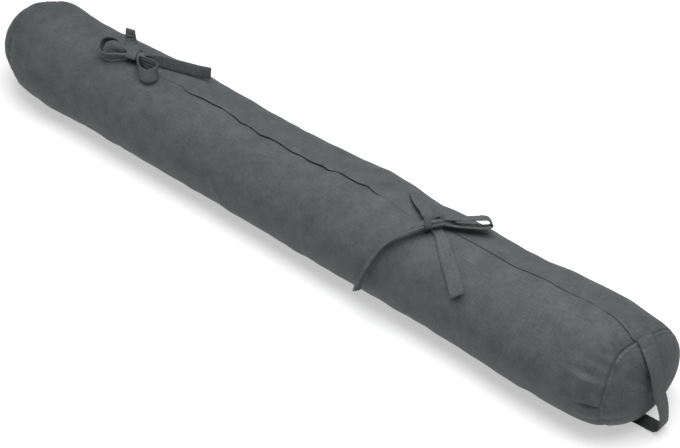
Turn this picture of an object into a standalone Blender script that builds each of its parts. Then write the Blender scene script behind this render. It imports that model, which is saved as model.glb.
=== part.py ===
"""A draught excluder: a long canvas bolster with crowned round ends, a lapped opening along its top, a
carry loop on one end and two pairs of tie straps knotted in bows.

Metres, +Z up. The bolster lies along X on a narrow flat strip of its underside, the near end at +X, the
front at -Y. The origin is on the floor under its middle. Angles around the bolster are in degrees from its
top, positive to the front, and a lift is a height above its cloth.
"""

import bmesh
import bpy
import numpy as np

OBJECT = "draught_excluder"

# Driving sizes
CLOTH = 0.0020  # canvas of the end panels and straps, with its turned edges
CLEAR = 0.0004  # between pieces that touch
STRAP_WIDTH = 0.0150
FLATTEN = 0.97  # height over width of the filled tube
SETTLE = 0.0030  # how far the tube's round form sinks into its flat strip
FAR_SEAM = -0.420
NEAR_SEAM = 0.418
FAR_CROWN = 0.0345  # how far an end panel bulges past its seam
NEAR_CROWN = 0.0230
CROWN_POWER = 4.2  # flat in the middle of a panel, round at its shoulder
LEAN = 0.0072  # how far the near end's rear side lies past its middle
LEAN_START = 0.300
PULL = 0.0060  # how far the near seam is pulled back where the long seam and the carry loop meet it
PULL_ANGLE = 5
PULL_REACH = 26  # degrees to either side
PULL_START = 0.385

# Mesh density
STATIONS = 46
ROUND_POINTS = 28  # of a section, beside those of the lap's profile
DOME_FRACTIONS = (0.97, 0.90, 0.78, 0.60, 0.35)
STRAP_STEPS = 24
CARRY_LOOP_STEPS = 44

MM = 0.001

# The filled tube, seam to seam: place along it, half width, sideways shift and how far its middle lies
# above its usual height, in mm
SECTIONS = (
    (-420, 53.5, 4.0, 6.5),
    (-408, 57.6, 1.7, 4.0),
    (-390, 59.4, -0.2, 2.0),
    (-355, 58.9, -2.6, 0.3),
    (-325, 58.5, -1.3, 0.0),
    (-290, 59.3, 1.3, 0.0),
    (-240, 60.4, 1.3, 0.0),
    (-180, 60.0, 2.8, 0.0),
    (-110, 58.4, 3.6, 0.0),
    (-40, 58.6, 2.7, 0.0),
    (20, 60.2, 1.4, 0.0),
    (80, 61.1, 3.7, 0.0),
    (120, 60.7, 3.5, 0.0),
    (160, 60.4, 4.9, 0.0),
    (230, 58.9, 2.3, 0.0),
    (280, 60.5, 0.4, 0.0),
    (325, 62.6, 0.1, 0.0),
    (375, 62.6, 0.4, 0.2),
    (398, 61.3, 1.5, 0.6),
    (410, 58.8, 3.4, 1.2),
    (418, 54.8, 3.6, 4.9),
)

# Hollows that the ties pull in: place along, degrees around, depth, reach along, reach around
HOLLOWS = (
    (0.158, -38, 0.0048, 0.030, 38),
    (0.150, 4, 0.0035, 0.020, 16),
    (-0.262, -14, 0.0028, 0.034, 40),
)

# The line of the opening and of the seam that goes on from it: place along, degrees around
OPENING_LINE = (
    (-0.420, 5.0),
    (-0.300, 6.5),
    (-0.212, 8.0),
    (-0.192, 3.2),
    (-0.165, 3.2),
    (-0.148, 0.3),
    (-0.125, 1.6),
    (-0.080, -0.8),
    (-0.012, 0.2),
    (0.036, -1.8),
    (0.068, 0.0),
    (0.090, 4.0),
    (0.140, 5.2),
    (0.200, 1.3),
    (0.232, -1.0),
    (0.300, -2.0),
    (0.374, -1.5),
    (0.412, 7.5),
)
OPENING_ENDS = (-0.196, 0.110)
OPENING_FADE = 0.010

# How wide the lapped hem gapes over the front cloth: place along, millimetres
GAPE = (
    (-0.196, 0.4),
    (-0.165, 0.3),
    (-0.130, 1.2),
    (-0.090, 0.5),
    (-0.030, 1.3),
    (0.025, 1.6),
    (0.045, 0.4),
    (0.072, 1.3),
    (0.110, 0.3),
)

# Across the opening, front to rear, in mm: place and lift where hems lap, place and lift where they are
# sewn shut, and the share of the gape that lifts this point
ACROSS_OPENING = (
    (-14.0, 0.0, -14.0, 0.0, 0.0),
    (-6.0, 0.2, -6.0, 0.0, 0.0),
    (-1.0, -0.4, -2.0, 0.0, 0.0),
    (3.0, -1.6, -1.0, -0.3, 0.0),
    (6.0, -2.4, -0.4, -1.0, 0.0),
    (6.6, -1.6, 0.0, -1.3, 0.1),
    (3.0, -0.5, 0.4, -1.0, 0.7),
    (-0.8, 0.5, 0.8, -0.3, 1.0),
    (-1.5, 1.3, 1.3, 0.0, 1.0),
    (-0.4, 2.1, 3.0, 0.1, 1.0),
    (6.0, 1.8, 8.0, 0.1, 0.6),
    (16.0, 0.2, 16.0, 0.0, 0.0),
)

# Straps laid on the bolster: place along, degrees around, lift, degrees that the strap turns on edge, and
# the share of its width that shows where it is gathered
NEAR_ROOT_AND_TAIL = (
    (0.1350, -21, 0.0024, 0, 1.0),
    (0.1410, -15, 0.0034, 0, 0.95),
    (0.1520, -7, 0.0045, 0, 0.85),
    (0.1655, 1, 0.0044, 0, 0.7),
    (0.1780, 8, 0.0026, 0, 0.6),
    (0.1900, 13, 0.0018, 0, 0.75),
    (0.2020, 22, 0.0020, 0, 0.9),
    (0.2150, 32, 0.0020, 0, 1.0),
    (0.2285, 42, 0.0024, 0, 1.0),
    (0.2420, 53, 0.0055, 0, 1.0),
)
NEAR_EDGE_TAIL = (
    (0.1810, 10, 0.0095, 35, 0.5),
    (0.1745, 17, 0.0088, 60, 0.7),
    (0.1690, 26, 0.0084, 74, 0.9),
    (0.1625, 37, 0.0084, 78, 1.0),
    (0.1565, 46, 0.0084, 78, 1.0),
    (0.1515, 56, 0.0084, 78, 1.0),
    (0.1455, 66, 0.0084, 76, 1.0),
    (0.1415, 76, 0.0084, 74, 1.0),
    (0.1375, 86, 0.0082, 72, 1.0),
    (0.1335, 96, 0.0082, 70, 1.0),
)
FAR_UPRIGHT_TAIL = (
    (-0.2340, 17, 0.0020, 0.5),
    (-0.2400, 11, 0.0020, 0.5),
    (-0.2465, 6, 0.0020, 0.5),
    (-0.2530, 2, 0.0020, 0.55),
    (-0.2590, -4, 0.0026, 0.7),
    (-0.2655, -10, 0.0048, 0.85),
    (-0.2722, -14, 0.0090, 0.95),
    (-0.2775, -16, 0.0150, 1.0),
    (-0.2810, -17, 0.0205, 1.0),
)
FAR_LONG_TAIL = (
    (-0.2470, 2, 0.0094, 0.45),
    (-0.2370, 0, 0.0094, 0.7),
    (-0.2220, -3, 0.0098, 0.95),
    (-0.2050, -8, 0.0102, 1.0),
    (-0.1920, -13, 0.0106, 1.0),
    (-0.1800, -17, 0.0116, 1.0),
    (-0.1700, -20, 0.0130, 1.0),
    (-0.1620, -23, 0.0146, 1.0),
)

# Bow loops and free tails: place along, degrees around and lift of the strap's middle, and the share of its
# width that shows. The width's direction turns evenly from the first given to the last.
NEAR_LOOP = (
    (0.1815, 6, 0.0115, 0.5),
    (0.1960, -2, 0.0138, 0.8),
    (0.2055, -8, 0.0165, 1.0),
    (0.2135, -14, 0.0192, 1.0),
    (0.2195, -21, 0.0196, 1.0),
    (0.2238, -23, 0.0152, 1.0),
    (0.2243, -22, 0.0105, 1.0),
    (0.2195, -17, 0.0075, 1.0),
    (0.2110, -10, 0.0068, 1.0),
    (0.2000, -2, 0.0066, 0.8),
    (0.1860, 5, 0.0072, 0.5),
)
NEAR_LOOP_ACROSS = ((0.52, -0.64, 0.56), (0.52, -0.64, 0.56))
FAR_LOOP = (
    (-0.2510, 1, 0.0105, 0.5),
    (-0.2580, -1, 0.0135, 0.8),
    (-0.2700, 1, 0.0175, 1.0),
    (-0.2830, 6, 0.0170, 1.0),
    (-0.2900, 10, 0.0130, 1.0),
    (-0.2885, 14, 0.0104, 1.0),
    (-0.2780, 16, 0.0096, 0.95),
    (-0.2640, 12, 0.0084, 0.8),
    (-0.2530, 5, 0.0078, 0.5),
)
FAR_LOOP_ACROSS = ((0.42, -0.66, 0.62), (0.10, -0.30, 0.95))
DROOPING_LOOP = (
    (-0.2400, 11, 0.0060, 0.7),
    (-0.2290, 16, 0.0074, 0.85),
    (-0.2185, 19, 0.0084, 1.0),
    (-0.2090, 19, 0.0084, 1.0),
    (-0.2015, 15, 0.0084, 1.0),
    (-0.2000, 10, 0.0084, 0.95),
    (-0.2060, 6, 0.0080, 0.85),
    (-0.2170, 6, 0.0074, 0.75),
    (-0.2300, 8, 0.0070, 0.65),
)
DROOPING_LOOP_ACROSS = ((-0.15, 0.25, 0.95), (-0.15, 0.25, 0.95))
FAR_UPRIGHT_ACROSS = ((0.97, 0.20, 0.00), (0.97, -0.09, 0.22))
FAR_LONG_ACROSS = ((0.00, -0.30, 0.95), (0.03, 0.17, 0.98))

# Knots: place along, degrees around, lift of the middle, three half sizes, degrees turned about the vertical
NEAR_KNOT = (0.1795, 8, 0.0103, (0.0125, 0.0088, 0.0058), 38)
NEAR_KNOT_BAND = (0.1760, 11, 0.0110, (0.0050, 0.0102, 0.0064), 38)
FAR_KNOT = (-0.2500, 3, 0.0090, (0.0085, 0.0100, 0.0054), 20)
FAR_KNOT_BAND = (-0.2500, 3, 0.0096, (0.0100, 0.0046, 0.0062), 20)

# The carry loop's middle line from the top of the near seam to its foot, in mm
CARRY_LOOP = (
    (413.6, 4.5, 110.8),
    (417.4, 3.8, 108.8),
    (422.8, 2.0, 104.6),
    (429.0, -0.5, 99.4),
    (433.8, -2.8, 94.0),
    (437.6, -4.0, 87.8),
    (440.6, -4.8, 79.0),
    (443.6, -4.4, 68.0),
    (446.8, -2.4, 57.0),
    (450.0, 0.5, 46.0),
    (452.4, 3.5, 32.0),
    (453.0, 6.0, 18.0),
    (451.4, 7.5, 8.5),
    (446.8, 7.8, 3.4),
    (440.0, 7.5, 1.7),
    (433.0, 6.5, 1.7),
    (427.0, 5.8, 1.7),
    (421.2, 5.0, 1.7),
)
CARRY_LOOP_ACROSS = (0.0, 1.0, 0.0)
CARRY_LOOP_ROOT = (0.35, 0.94, 0.0)  # where the near seam's pull turns it
CARRY_LOOP_ROOT_HEIGHTS = (0.100, 0.110)

CANVAS = (0.088, 0.096, 0.096, 1.0)
STRAP_CANVAS = (0.098, 0.104, 0.106, 1.0)
CANVAS_ROUGHNESS = 0.9


def smooth(places, values, wanted):
    """Values at the wanted places, on a smooth curve through the rows of a table."""
    places = np.asarray(places, float)
    values = np.asarray(values, float)
    wanted = np.clip(np.asarray(wanted, float), places[0], places[-1])
    slopes = np.gradient(values, places, axis=0)
    row = np.clip(np.searchsorted(places, wanted, side="right") - 1, 0, len(places) - 2)
    span = places[row + 1] - places[row]
    part = (wanted - places[row]) / span
    if values.ndim > 1:
        part = part[:, None]
        span = span[:, None]
    rise = part * part * (3 - 2 * part)
    leave = part * (1 - part) ** 2
    arrive = part * part * (part - 1)
    change = values[row + 1] - values[row]
    return values[row] + rise * change + span * (leave * slopes[row] + arrive * slopes[row + 1])


def column(table, index):
    return np.array([row[index] for row in table], float)


def tube_at(along):
    """Half width, sideways shift and height of the middle of the filled tube."""
    rows = np.array(SECTIONS) * MM
    half_width, shift, rise = smooth(rows[:, 0], rows[:, 1:], along).T
    return half_width, shift, FLATTEN * half_width - SETTLE + rise


def hollow_at(along, around):
    depth = np.zeros(np.broadcast(along, around).shape)
    for place, angle, most, reach_along, reach_around in HOLLOWS:
        far = ((along - place) / reach_along) ** 2 + ((around - angle) / reach_around) ** 2
        depth = depth + most * np.exp(-far)
    return depth


def part_way(values, start, end):
    """0 before the start, 1 after the end and an even rise between."""
    return np.clip((values - start) / (end - start), 0.0, 1.0)


def surface(along, around, lift=0.0):
    """Points above the bolster's cloth. None is below the floor."""
    along, around, lift = np.broadcast_arrays(np.atleast_1d(along), around, lift)
    half_width, shift, middle = tube_at(along)
    turned = np.radians(around)
    reach = lift - hollow_at(along, around)
    lean = LEAN * part_way(along, LEAN_START, NEAR_SEAM) ** 2
    pull = PULL * part_way(along, PULL_START, NEAR_SEAM) ** 2
    x = along - lean * np.sin(turned) - pull * np.exp(-(((around - PULL_ANGLE) / PULL_REACH) ** 2))
    y = shift - (half_width + reach) * np.sin(turned)
    z = middle + (FLATTEN * half_width + reach) * np.cos(turned)
    return np.stack((x, y, np.maximum(z, 0.0)), axis=1)


def outward(around):
    turned = np.radians(around)
    return np.stack((np.zeros(len(turned)), -np.sin(turned), np.cos(turned)), axis=1)


def lapped_share(along):
    """1 where the hems lap, 0 where they are sewn shut, with a short change between."""
    first, last = OPENING_ENDS
    inside = min(along - first, last - along) / OPENING_FADE
    return float(np.clip(0.5 + 0.5 * inside, 0.0, 1.0))


def ring_shape(along):
    """Angles and lifts of the points of one section, from just before the opening round to it again."""
    table = np.array(ACROSS_OPENING)
    share = lapped_share(along)
    gape = smooth(column(GAPE, 0), column(GAPE, 1), [along])[0]
    place = share * table[:, 0] + (1 - share) * table[:, 2]
    lift = share * (table[:, 1] + gape * table[:, 4]) + (1 - share) * table[:, 3]
    half_width = tube_at(np.array([along]))[0][0]
    line = smooth(column(OPENING_LINE, 0), column(OPENING_LINE, 1), [along])[0]
    crossing = line - np.degrees(place * MM / half_width)
    spread = np.arange(1, ROUND_POINTS + 1) / (ROUND_POINTS + 1)
    rest = crossing[-1] + spread * (crossing[0] - 360 - crossing[-1])
    angles = np.concatenate((crossing, rest))
    lifts = np.concatenate((lift * MM, np.zeros(ROUND_POINTS)))
    return (angles + 180) % 360 - 180, lifts


def tube_ring(along):
    angles, lifts = ring_shape(along)
    return surface(along, angles, lifts)


def dome_ring(seam, crown, fraction, inset):
    """A ring of a crowned end: this fraction of its seam's size, moved in from the panel's outer face."""
    side = np.sign(seam)
    rim = surface(seam, ring_shape(seam)[0])
    half_width, shift, height = (value[0] for value in tube_at(np.array([seam])))
    slope = CROWN_POWER * crown * fraction ** (CROWN_POWER - 1) / half_width
    long = np.hypot(1.0, slope)
    middle = np.array((seam, shift, height))
    ring = middle + (rim - middle) * (fraction - inset * slope / long / half_width)
    ring[:, 0] += side * (crown * (1 - fraction**CROWN_POWER) - inset / long)
    return ring


def new_object(name, mesh, collection, material):
    thing = bpy.data.objects.new(name, mesh)
    collection.objects.link(thing)
    mesh.materials.append(material)
    mesh.shade_smooth()
    mesh.set_sharp_from_angle(angle=np.radians(40))
    return thing


def loft(name, rings, tips):
    """A mesh of rings with the same number of points, its ends closed to the tips that are given."""
    shape = bmesh.new()
    rows = [[shape.verts.new(point) for point in ring] for ring in rings]
    for row, following in zip(rows, rows[1:]):
        for index in range(len(row)):
            after = (index + 1) % len(row)
            shape.faces.new((row[index], row[after], following[after], following[index]))
    for row, tip in ((rows[0], tips[0]), (rows[-1], tips[1])):
        if tip is None:
            continue
        point = shape.verts.new(tip)
        for index in range(len(row)):
            shape.faces.new((row[index], row[(index + 1) % len(row)], point))
    bmesh.ops.recalc_face_normals(shape, faces=shape.faces)
    mesh = bpy.data.meshes.new(name)
    shape.to_mesh(mesh)
    shape.free()
    return mesh


def dome_tip(seam, crown, inset):
    half_width, shift, height = (value[0] for value in tube_at(np.array([seam])))
    return np.array((seam + np.sign(seam) * (crown - inset), shift, height))


def bolster_body(collection, material):
    """The filled tube, with crowned ends that the panels cover."""
    inset = CLOTH + CLEAR
    stations = np.linspace(FAR_SEAM + 3 * CLEAR, NEAR_SEAM - 3 * CLEAR, STATIONS)
    rings = [tube_ring(along) for along in stations]
    for seam, crown, place in ((FAR_SEAM, FAR_CROWN, 0), (NEAR_SEAM, NEAR_CROWN, len(rings) + 1)):
        cap = [dome_ring(seam, crown, fraction, inset) for fraction in (1.0,) + DOME_FRACTIONS]
        cap[0][:, 0] -= np.sign(seam) * CLEAR
        if place == 0:
            rings = cap[::-1] + rings
        else:
            rings = rings + cap
    tips = (dome_tip(FAR_SEAM, FAR_CROWN, inset), dome_tip(NEAR_SEAM, NEAR_CROWN, inset))
    return new_object("bolster_body", loft("bolster_body", rings, tips), collection, material)


def end_panel(name, seam, crown, collection, material):
    """A crowned disc of cloth, its outer face modelled and the cloth's thickness added inside it."""
    rings = [dome_ring(seam, crown, fraction, 0.0) for fraction in (1.0,) + DOME_FRACTIONS]
    mesh = loft(name, rings, (None, dome_tip(seam, crown, 0.0)))
    if mesh.polygons[0].normal.x * seam < 0:
        mesh.flip_normals()
    panel = new_object(name, mesh, collection, material)
    cloth = panel.modifiers.new("cloth", "SOLIDIFY")
    cloth.thickness = CLOTH
    cloth.offset = -1
    return panel


def ribbon(name, middle, across, share, collection, material):
    """A strap along its middle line: its width's directions, and the share of the width that shows."""
    shape = bmesh.new()
    reach = unit(across) * STRAP_WIDTH / 2 * np.reshape(share, (-1, 1))
    edges = [
        (shape.verts.new(point - side), shape.verts.new(point + side))
        for point, side in zip(middle, reach)
    ]
    for (left, right), (next_left, next_right) in zip(edges, edges[1:]):
        shape.faces.new((left, right, next_right, next_left))
    mesh = bpy.data.meshes.new(name)
    shape.to_mesh(mesh)
    shape.free()
    strap = new_object(name, mesh, collection, material)
    cloth = strap.modifiers.new("cloth", "SOLIDIFY")
    cloth.thickness = CLOTH
    cloth.offset = 0
    return strap


def unit(vectors):
    return vectors / np.linalg.norm(vectors, axis=-1, keepdims=True)


def blend(directions, share):
    first, last = np.array(directions)
    return first + (last - first) * share[:, None]


def along_rows(table, steps=STRAP_STEPS):
    rows = np.array(table)
    return smooth(np.arange(len(rows)), rows, np.linspace(0, len(rows) - 1, steps + 1))


def laid_strap(name, table, collection, material):
    """A strap that follows the bolster, flat on it or turned on edge."""
    rows = along_rows(table)
    middle = surface(rows[:, 0], rows[:, 1], rows[:, 2])
    forward = unit(np.gradient(middle, axis=0))
    flat = unit(np.cross(outward(rows[:, 1]), forward))
    raised = np.cross(forward, flat)
    turn = np.radians(rows[:, 3])[:, None]
    across = np.cos(turn) * flat + np.sin(turn) * raised
    return ribbon(name, middle, across, rows[:, 4], collection, material)


def free_strap(name, table, directions, collection, material):
    """A strap that stands off the bolster, such as a bow's loop."""
    rows = along_rows(table)
    middle = surface(rows[:, 0], rows[:, 1], rows[:, 2])
    across = blend(directions, np.linspace(0, 1, len(middle)))
    return ribbon(name, middle, across, rows[:, 3], collection, material)


def lump(name, place, collection, material):
    """One rounded turn of a knot."""
    along, around, lift, half_sizes, turned = place
    shape = bmesh.new()
    bmesh.ops.create_uvsphere(shape, u_segments=14, v_segments=8, radius=1.0)
    bmesh.ops.scale(shape, vec=half_sizes, verts=shape.verts)
    mesh = bpy.data.meshes.new(name)
    shape.to_mesh(mesh)
    shape.free()
    knot = new_object(name, mesh, collection, material)
    knot.location = surface(along, around, lift)[0]
    knot.rotation_euler = (np.radians(around), 0, np.radians(turned))
    return knot


def join(main, others):
    """Fuses pieces of one strap into one body."""
    for other in others:
        fuse = main.modifiers.new("fuse", "BOOLEAN")
        fuse.operation = "UNION"
        fuse.object = other
        other.hide_render = True
        other.display_type = "WIRE"
    return main


def near_ties(collection, helpers, material):
    laid_strap("near_tie_rear", NEAR_ROOT_AND_TAIL, collection, material)
    knot = lump("near_tie_front", NEAR_KNOT, collection, material)
    join(
        knot,
        (
            lump("near_knot_band", NEAR_KNOT_BAND, helpers, material),
            free_strap("near_loop", NEAR_LOOP, NEAR_LOOP_ACROSS, helpers, material),
            laid_strap("near_edge_tail", NEAR_EDGE_TAIL, helpers, material),
        ),
    )


def far_ties(collection, helpers, material):
    tail = free_strap("far_tie_rear", FAR_UPRIGHT_TAIL, FAR_UPRIGHT_ACROSS, collection, material)
    droop = free_strap("drooping_loop", DROOPING_LOOP, DROOPING_LOOP_ACROSS, helpers, material)
    join(tail, (droop,))
    knot = lump("far_tie_front", FAR_KNOT, collection, material)
    join(
        knot,
        (
            lump("far_knot_band", FAR_KNOT_BAND, helpers, material),
            free_strap("far_loop", FAR_LOOP, FAR_LOOP_ACROSS, helpers, material),
            free_strap("far_long_tail", FAR_LONG_TAIL, FAR_LONG_ACROSS, helpers, material),
        ),
    )


def carry_loop(collection, material):
    middle = along_rows(CARRY_LOOP, steps=CARRY_LOOP_STEPS) * MM
    turned = part_way(middle[:, 2], *CARRY_LOOP_ROOT_HEIGHTS)
    across = blend((CARRY_LOOP_ACROSS, CARRY_LOOP_ROOT), turned)
    return ribbon("carry_loop", middle, across, np.ones(len(middle)), collection, material)


def cloth_material(name, colour):
    material = bpy.data.materials.new(name)
    material.use_nodes = True
    shader = material.node_tree.nodes["Principled BSDF"]
    shader.inputs["Base Color"].default_value = colour
    shader.inputs["Roughness"].default_value = CANVAS_ROUGHNESS
    shader.inputs["Metallic"].default_value = 0.0
    return material


def new_collection(name):
    collection = bpy.data.collections.new(name)
    bpy.context.scene.collection.children.link(collection)
    return collection


def main():
    for thing in list(bpy.data.objects):
        bpy.data.objects.remove(thing, do_unlink=True)
    parts = new_collection(OBJECT)
    helpers = new_collection("helpers")
    canvas = cloth_material("canvas", CANVAS)
    strap = cloth_material("strap_canvas", STRAP_CANVAS)
    bolster_body(parts, canvas)
    end_panel("end_panel_near", NEAR_SEAM, NEAR_CROWN, parts, canvas)
    end_panel("end_panel_far", FAR_SEAM, FAR_CROWN, parts, canvas)
    carry_loop(parts, strap)
    near_ties(parts, helpers, strap)
    far_ties(parts, helpers, strap)


main()
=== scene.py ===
"""The looks of a draught excluder: a canvas bolster with crowned ends, a lapped opening along its top, a
carry loop and two pairs of tie straps knotted in bows.

Metres, +Z up. The bolster lies along X, its near end at +X and its front at -Y. Angles around it are in
degrees from its top, positive to the front, and a lift is a height above its cloth.
"""

import bmesh
import bpy
import numpy as np
from mathutils import Matrix, Vector


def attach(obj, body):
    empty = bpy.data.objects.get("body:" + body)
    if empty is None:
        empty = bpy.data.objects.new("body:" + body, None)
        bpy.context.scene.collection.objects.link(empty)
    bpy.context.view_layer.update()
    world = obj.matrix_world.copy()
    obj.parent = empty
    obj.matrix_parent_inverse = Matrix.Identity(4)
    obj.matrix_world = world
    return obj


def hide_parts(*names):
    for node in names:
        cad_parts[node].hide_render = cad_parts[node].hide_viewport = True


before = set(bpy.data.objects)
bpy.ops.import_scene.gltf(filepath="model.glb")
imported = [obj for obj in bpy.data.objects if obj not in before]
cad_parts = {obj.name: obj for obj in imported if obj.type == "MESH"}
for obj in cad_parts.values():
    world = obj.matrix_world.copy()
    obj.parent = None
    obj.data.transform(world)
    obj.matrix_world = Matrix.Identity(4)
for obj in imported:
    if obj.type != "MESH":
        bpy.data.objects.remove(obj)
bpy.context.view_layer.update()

MM = 0.001
BODY = "root"
WEAVE_MAP = "weave"

# Camera
IMAGE_WIDTH = 680
FOCAL_PIXELS = 1454
SENSOR = 36.0
CAMERA_AZIMUTH = 39.8
CAMERA_ELEVATION = 43.4
CAMERA_TARGET = (0.0533, 0.0, 0.0394)
CAMERA_DISTANCE = 1.565

# Driving sizes
CLOTH = 0.0020
CLEAR = 0.0004
STRAP_WIDTH = 0.0150
FLATTEN = 0.97
SETTLE = 0.0030
FAR_SEAM = -0.420
NEAR_SEAM = 0.418
FAR_CROWN = 0.0345
NEAR_CROWN = 0.0230
CROWN_POWER = 4.2
LEAN = 0.0072
LEAN_START = 0.300
PULL = 0.0075
PULL_ANGLE = 28
PULL_REACH = 27
PULL_START = 0.385

# Mesh density
COVER_STATIONS = 290
SEAM_STATIONS = (0.0005, 0.0010, 0.0016, 0.0023, 0.0032)
COVER_ROUND = 240
CROSSING_STEPS = 4
COVER_CAP = (0.97, 0.90, 0.75, 0.50, 0.25)
PANEL_RINGS = 44
PANEL_RING_CROWDING = 1.5
PANEL_MIDDLE = 0.005
PANEL_POINTS = 220
STRAP_STEPS = 130
CARRY_LOOP_STEPS = 190
SECTION_POINTS = 21
ROLL_POINTS = 36
ROLL_STEPS = 30

# The filled tube in its cloth, seam to seam: place along it, half width, sideways shift and how far its
# middle lies above its usual height, in mm
SECTIONS = (
    (-420, 54.3, 3.4, 6.5),
    (-408, 58.5, 1.2, 4.0),
    (-390, 60.3, -0.3, 2.0),
    (-355, 60.1, -2.4, 0.3),
    (-325, 59.7, -1.4, 0.0),
    (-290, 60.4, 1.3, 0.0),
    (-240, 61.4, 0.9, 0.0),
    (-180, 61.4, 1.8, 0.0),
    (-110, 60.2, 1.4, 0.0),
    (-40, 59.9, 1.4, 0.0),
    (20, 60.8, 1.0, 0.0),
    (80, 62.4, 2.5, 0.0),
    (120, 62.1, 2.0, 0.0),
    (160, 62.4, 3.3, 0.0),
    (230, 60.4, 1.4, 0.0),
    (280, 61.1, 0.4, 0.0),
    (325, 63.4, -0.5, 0.0),
    (375, 63.3, 0.9, 0.2),
    (398, 61.8, 2.0, 0.6),
    (410, 59.5, 3.7, 1.2),
    (418, 56.0, 4.0, 4.4),
)

# Hollows that the ties and the near seam pull in: place along, degrees around, depth, below zero for a
# bulge, reach along, reach around
HOLLOWS = (
    (0.156, -40, 0.0052, 0.030, 38),
    (0.186, -24, 0.0026, 0.016, 13),
    (0.144, -45, 0.0012, 0.012, 22),
    (0.150, 4, 0.0035, 0.020, 16),
    (-0.262, -14, 0.0028, 0.034, 40),
    (0.402, -48, 0.0015, 0.011, 26),
    (0.420, -66, -0.0010, 0.008, 26),
)

# Soft folds of the cover: place along, degrees around, heading in degrees from the bolster's length towards
# its front, half length and half width in mm, and height in mm, below zero for a trough
FOLDS = (
    (-0.167, 6.5, 30, 4, 2.5, 0.9),
    (-0.357, 0, 0, 40, 7, 0.5),
    (-0.345, 3, 5, 40, 6, -0.5),
    (-0.270, 78, 48, 26, 8, 1.0),
    (-0.248, 74, 48, 28, 9, -1.1),
    (-0.076, 87, 66, 15, 2.6, 2.1),
    (-0.098, 74, 62, 30, 8, -1.7),
    (0.053, 92, 88, 26, 4, 1.0),
    (0.043, 90, 88, 26, 7, -1.0),
    (0.070, 40, 20, 5, 4, -0.9),
    (0.143, 5.5, 5, 18, 3, -1.6),
    (0.136, 17, 25, 24, 11, 1.0),
    (0.398, 10, 58, 6, 2.2, -2.0),
    (0.404, 33.5, 0, 7, 3, -1.7),
    (0.402, 44, 0, 12, 3.5, -1.0),
    (0.398, 57, 0, 15, 3.5, -1.7),
    (0.399, 63, 0, 15, 3, 1.7),
    (0.409, 90, 0, 10, 2.2, -4.0),
    (0.398, 88, 0, 13, 4.5, 0.8),
    (0.400, 100, 0, 14, 6, 1.4),
    (0.405, -2, 20, 8, 2.5, -1.5),
    (0.406, -21, -15, 8, 3, -1.4),
    (0.396, -11, 0, 12, 4, 1.0),
)

# Gathers where the cover is sewn to its end panels: count around, phase in degrees, height in mm
GATHERS = (
    (11, 20, 0.50),
    (17, 75, 0.42),
    (26, 140, 0.30),
    (37, 10, 0.18),
)
GATHER_REACH = 0.015
PANEL_GATHER_REACH = 0.009
PANEL_GATHER_TURN = 35
NEAR_TURN = 0
FAR_TURN = 90
SEAM_GROOVE = 0.0015
SEAM_GROOVE_REACH = 0.0009
SEAM_DIP = 0.0004
SEAM_DIP_REACH = 0.0040

# Unevenness of the filling: waves along and around the tube, phase in degrees, height in mm
LUMPS = (
    (9, 1, 40, 0.28),
    (14, -2, 160, 0.22),
    (21, 2, 250, 0.18),
    (31, -3, 15, 0.15),
    (38, 4, 100, 0.11),
    (47, -5, 200, 0.06),
)

# The line of the opening and of the seam that goes on from it: place along, degrees around
OPENING_LINE = (
    (-0.420, 2.0),
    (-0.384, 0.1),
    (-0.358, -1.7),
    (-0.330, 0.2),
    (-0.290, 3.3),
    (-0.240, 5.5),
    (-0.204, 7.9),
    (-0.182, 5.8),
    (-0.172, 5.2),
    (-0.164, 6.6),
    (-0.156, 6.4),
    (-0.148, 5.1),
    (-0.124, 3.6),
    (-0.112, 2.4),
    (-0.100, 3.2),
    (-0.090, 4.4),
    (-0.082, 6.1),
    (-0.074, 5.1),
    (-0.066, 5.3),
    (-0.052, 7.4),
    (-0.043, 6.5),
    (-0.022, 6.0),
    (-0.003, 7.5),
    (0.003, 6.4),
    (0.018, 7.3),
    (0.036, 6.4),
    (0.045, 7.2),
    (0.051, 4.6),
    (0.056, 4.4),
    (0.068, 5.8),
    (0.085, 5.2),
    (0.091, 4.2),
    (0.104, 6.0),
    (0.114, 6.0),
    (0.131, 4.6),
    (0.144, 5.3),
    (0.200, 1.3),
    (0.230, -1.3),
    (0.268, -0.4),
    (0.305, -2.3),
    (0.328, -0.5),
    (0.374, -1.8),
    (0.386, 0.3),
    (0.404, 5.1),
    (0.412, 8.2),
)
OPENING_ENDS = (-0.168, 0.110)
OPENING_FADE = 0.004

# How wide the lapped hem gapes over the front cloth: place along, millimetres
GAPE = (
    (-0.168, -0.1),
    (-0.160, 0.1),
    (-0.148, 0.5),
    (-0.144, 0.8),
    (-0.122, 0.8),
    (-0.112, 0.3),
    (-0.106, -0.2),
    (-0.100, 0.2),
    (-0.094, 0.8),
    (-0.082, 0.9),
    (-0.075, 0.2),
    (-0.072, 0.1),
    (-0.064, 0.7),
    (-0.054, 1.0),
    (-0.043, 1.1),
    (-0.020, 0.9),
    (-0.003, 1.1),
    (0.003, 0.4),
    (0.010, 0.8),
    (0.024, 1.1),
    (0.042, 1.2),
    (0.048, 0.0),
    (0.054, 0.0),
    (0.060, 0.6),
    (0.076, 1.0),
    (0.088, 0.5),
    (0.100, 0.7),
    (0.106, 0.3),
    (0.110, 0.0),
)

# How deep the seam's line lies where the opening is sewn shut: place along, share of its full depth
SEAM_DEPTH = (
    (-0.420, 0.5),
    (-0.400, 0.2),
    (-0.290, 0.2),
    (-0.230, 0.3),
    (-0.170, 0.45),
    (0.110, 0.15),
    (0.160, 0.15),
    (0.190, 0.7),
    (0.205, 1.0),
    (0.330, 1.0),
    (0.350, 0.6),
    (0.376, 0.6),
    (0.398, 1.0),
    (0.418, 1.0),
)

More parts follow.
